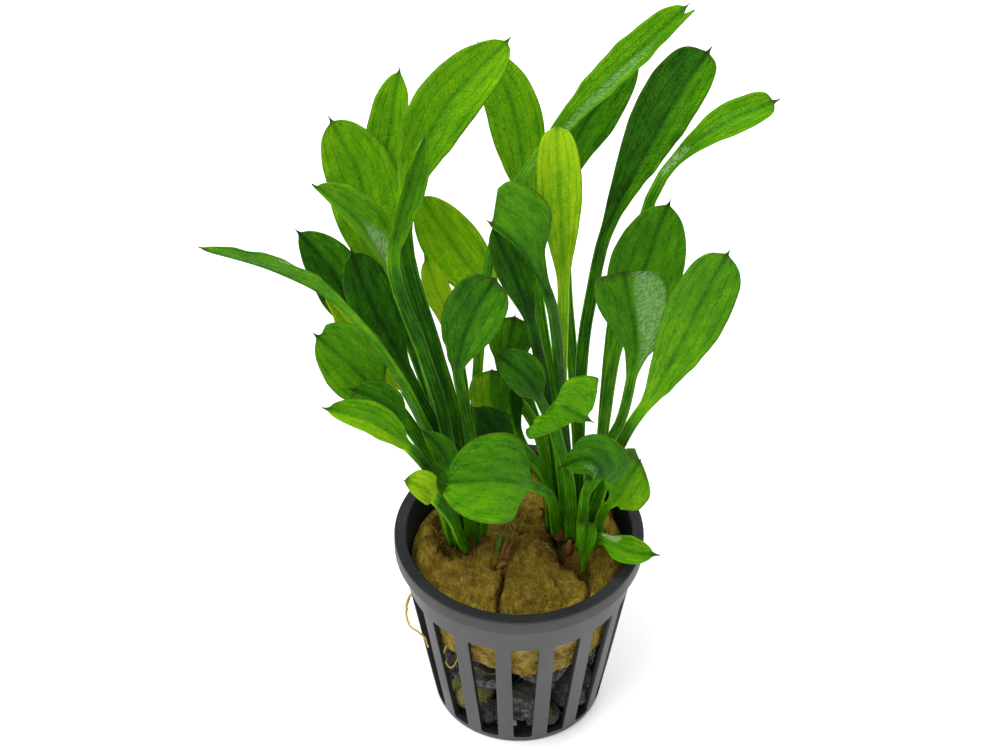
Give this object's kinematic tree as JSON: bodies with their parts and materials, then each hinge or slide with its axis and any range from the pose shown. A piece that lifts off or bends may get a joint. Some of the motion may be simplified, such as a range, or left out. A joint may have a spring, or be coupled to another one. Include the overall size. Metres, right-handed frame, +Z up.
{
  "type": "potted amazon sword plant",
  "caption": "Bushy Amazon sword with petioled lance-shaped leaves in two rosettes, rooted in a mineral wool plug inside a slotted net cup with lava stones",
  "frame": {"origin": "under the middle of the cup's floor, on the plane it stands on", "axes": "+Z up along the cup's axis, -Y towards the side the low round leaf leans to, +X to the right of it"},
  "size_m": [0.1172, 0.0694, 0.1752],
  "materials": {
    "cup": "satin dark grey moulded plastic",
    "wool": "matted golden-brown mineral wool fibres",
    "stone": "rough dark lava stone",
    "pebble": "smooth olive pebble with algae",
    "crown": "brown scaly rootstock",
    "leaf": "glossy green leaf with darker veins",
    "root": "pale golden root"
  },
  "bodies": {
    "root": {"crown_left": "crown", "crown_right": "crown", "leaf_back_tall": "leaf", "leaf_centre_back": "leaf", "leaf_centre_curled": "leaf", "leaf_centre_lime": "leaf", "leaf_centre_lobed": "leaf", "leaf_centre_narrow": "leaf", "leaf_centre_under": "leaf", "leaf_centre_wide": "leaf", "leaf_inner_lime": "leaf", "leaf_left_back": "leaf", "leaf_left_dark": "leaf", "leaf_left_dark_high": "leaf", "leaf_left_flared": "leaf", "leaf_left_folded": "leaf", "leaf_left_lime": "leaf", "leaf_left_long": "leaf", "leaf_left_outer": "leaf", "leaf_left_oval": "leaf", "leaf_left_reaching": "leaf", "leaf_left_slim": "leaf", "leaf_left_small_dark": "leaf", "leaf_left_tall": "leaf", "leaf_left_tiny": "leaf", "leaf_left_wedge": "leaf", "leaf_low_dark": "leaf", "leaf_low_folded": "leaf", "leaf_low_pale": "leaf", "leaf_low_round": "leaf", "leaf_low_spoon": "leaf", "leaf_middle_lime": "leaf", "leaf_middle_spoon": "leaf", "leaf_over_lip": "leaf", "leaf_right_back": "leaf", "leaf_right_large": "leaf", "leaf_right_sheen": "leaf", "leaf_right_spoon": "leaf", "leaf_right_tall": "leaf", "leaf_top_behind": "leaf", "leaf_top_long": "leaf", "net_cup": "cup", "pebble_olive": "pebble", "root_outer": "root", "stone_back_left": "stone", "stone_back_right": "stone", "stone_front": "stone", "stone_front_left": "stone", "stone_front_right": "stone", "stone_left": "stone", "stone_middle": "stone", "stone_right": "stone", "stone_upper_back": "stone", "stone_upper_front": "stone", "stone_upper_left": "stone", "stone_upper_right": "stone", "wool_plug": "wool"}
  },
  "joints": []
}
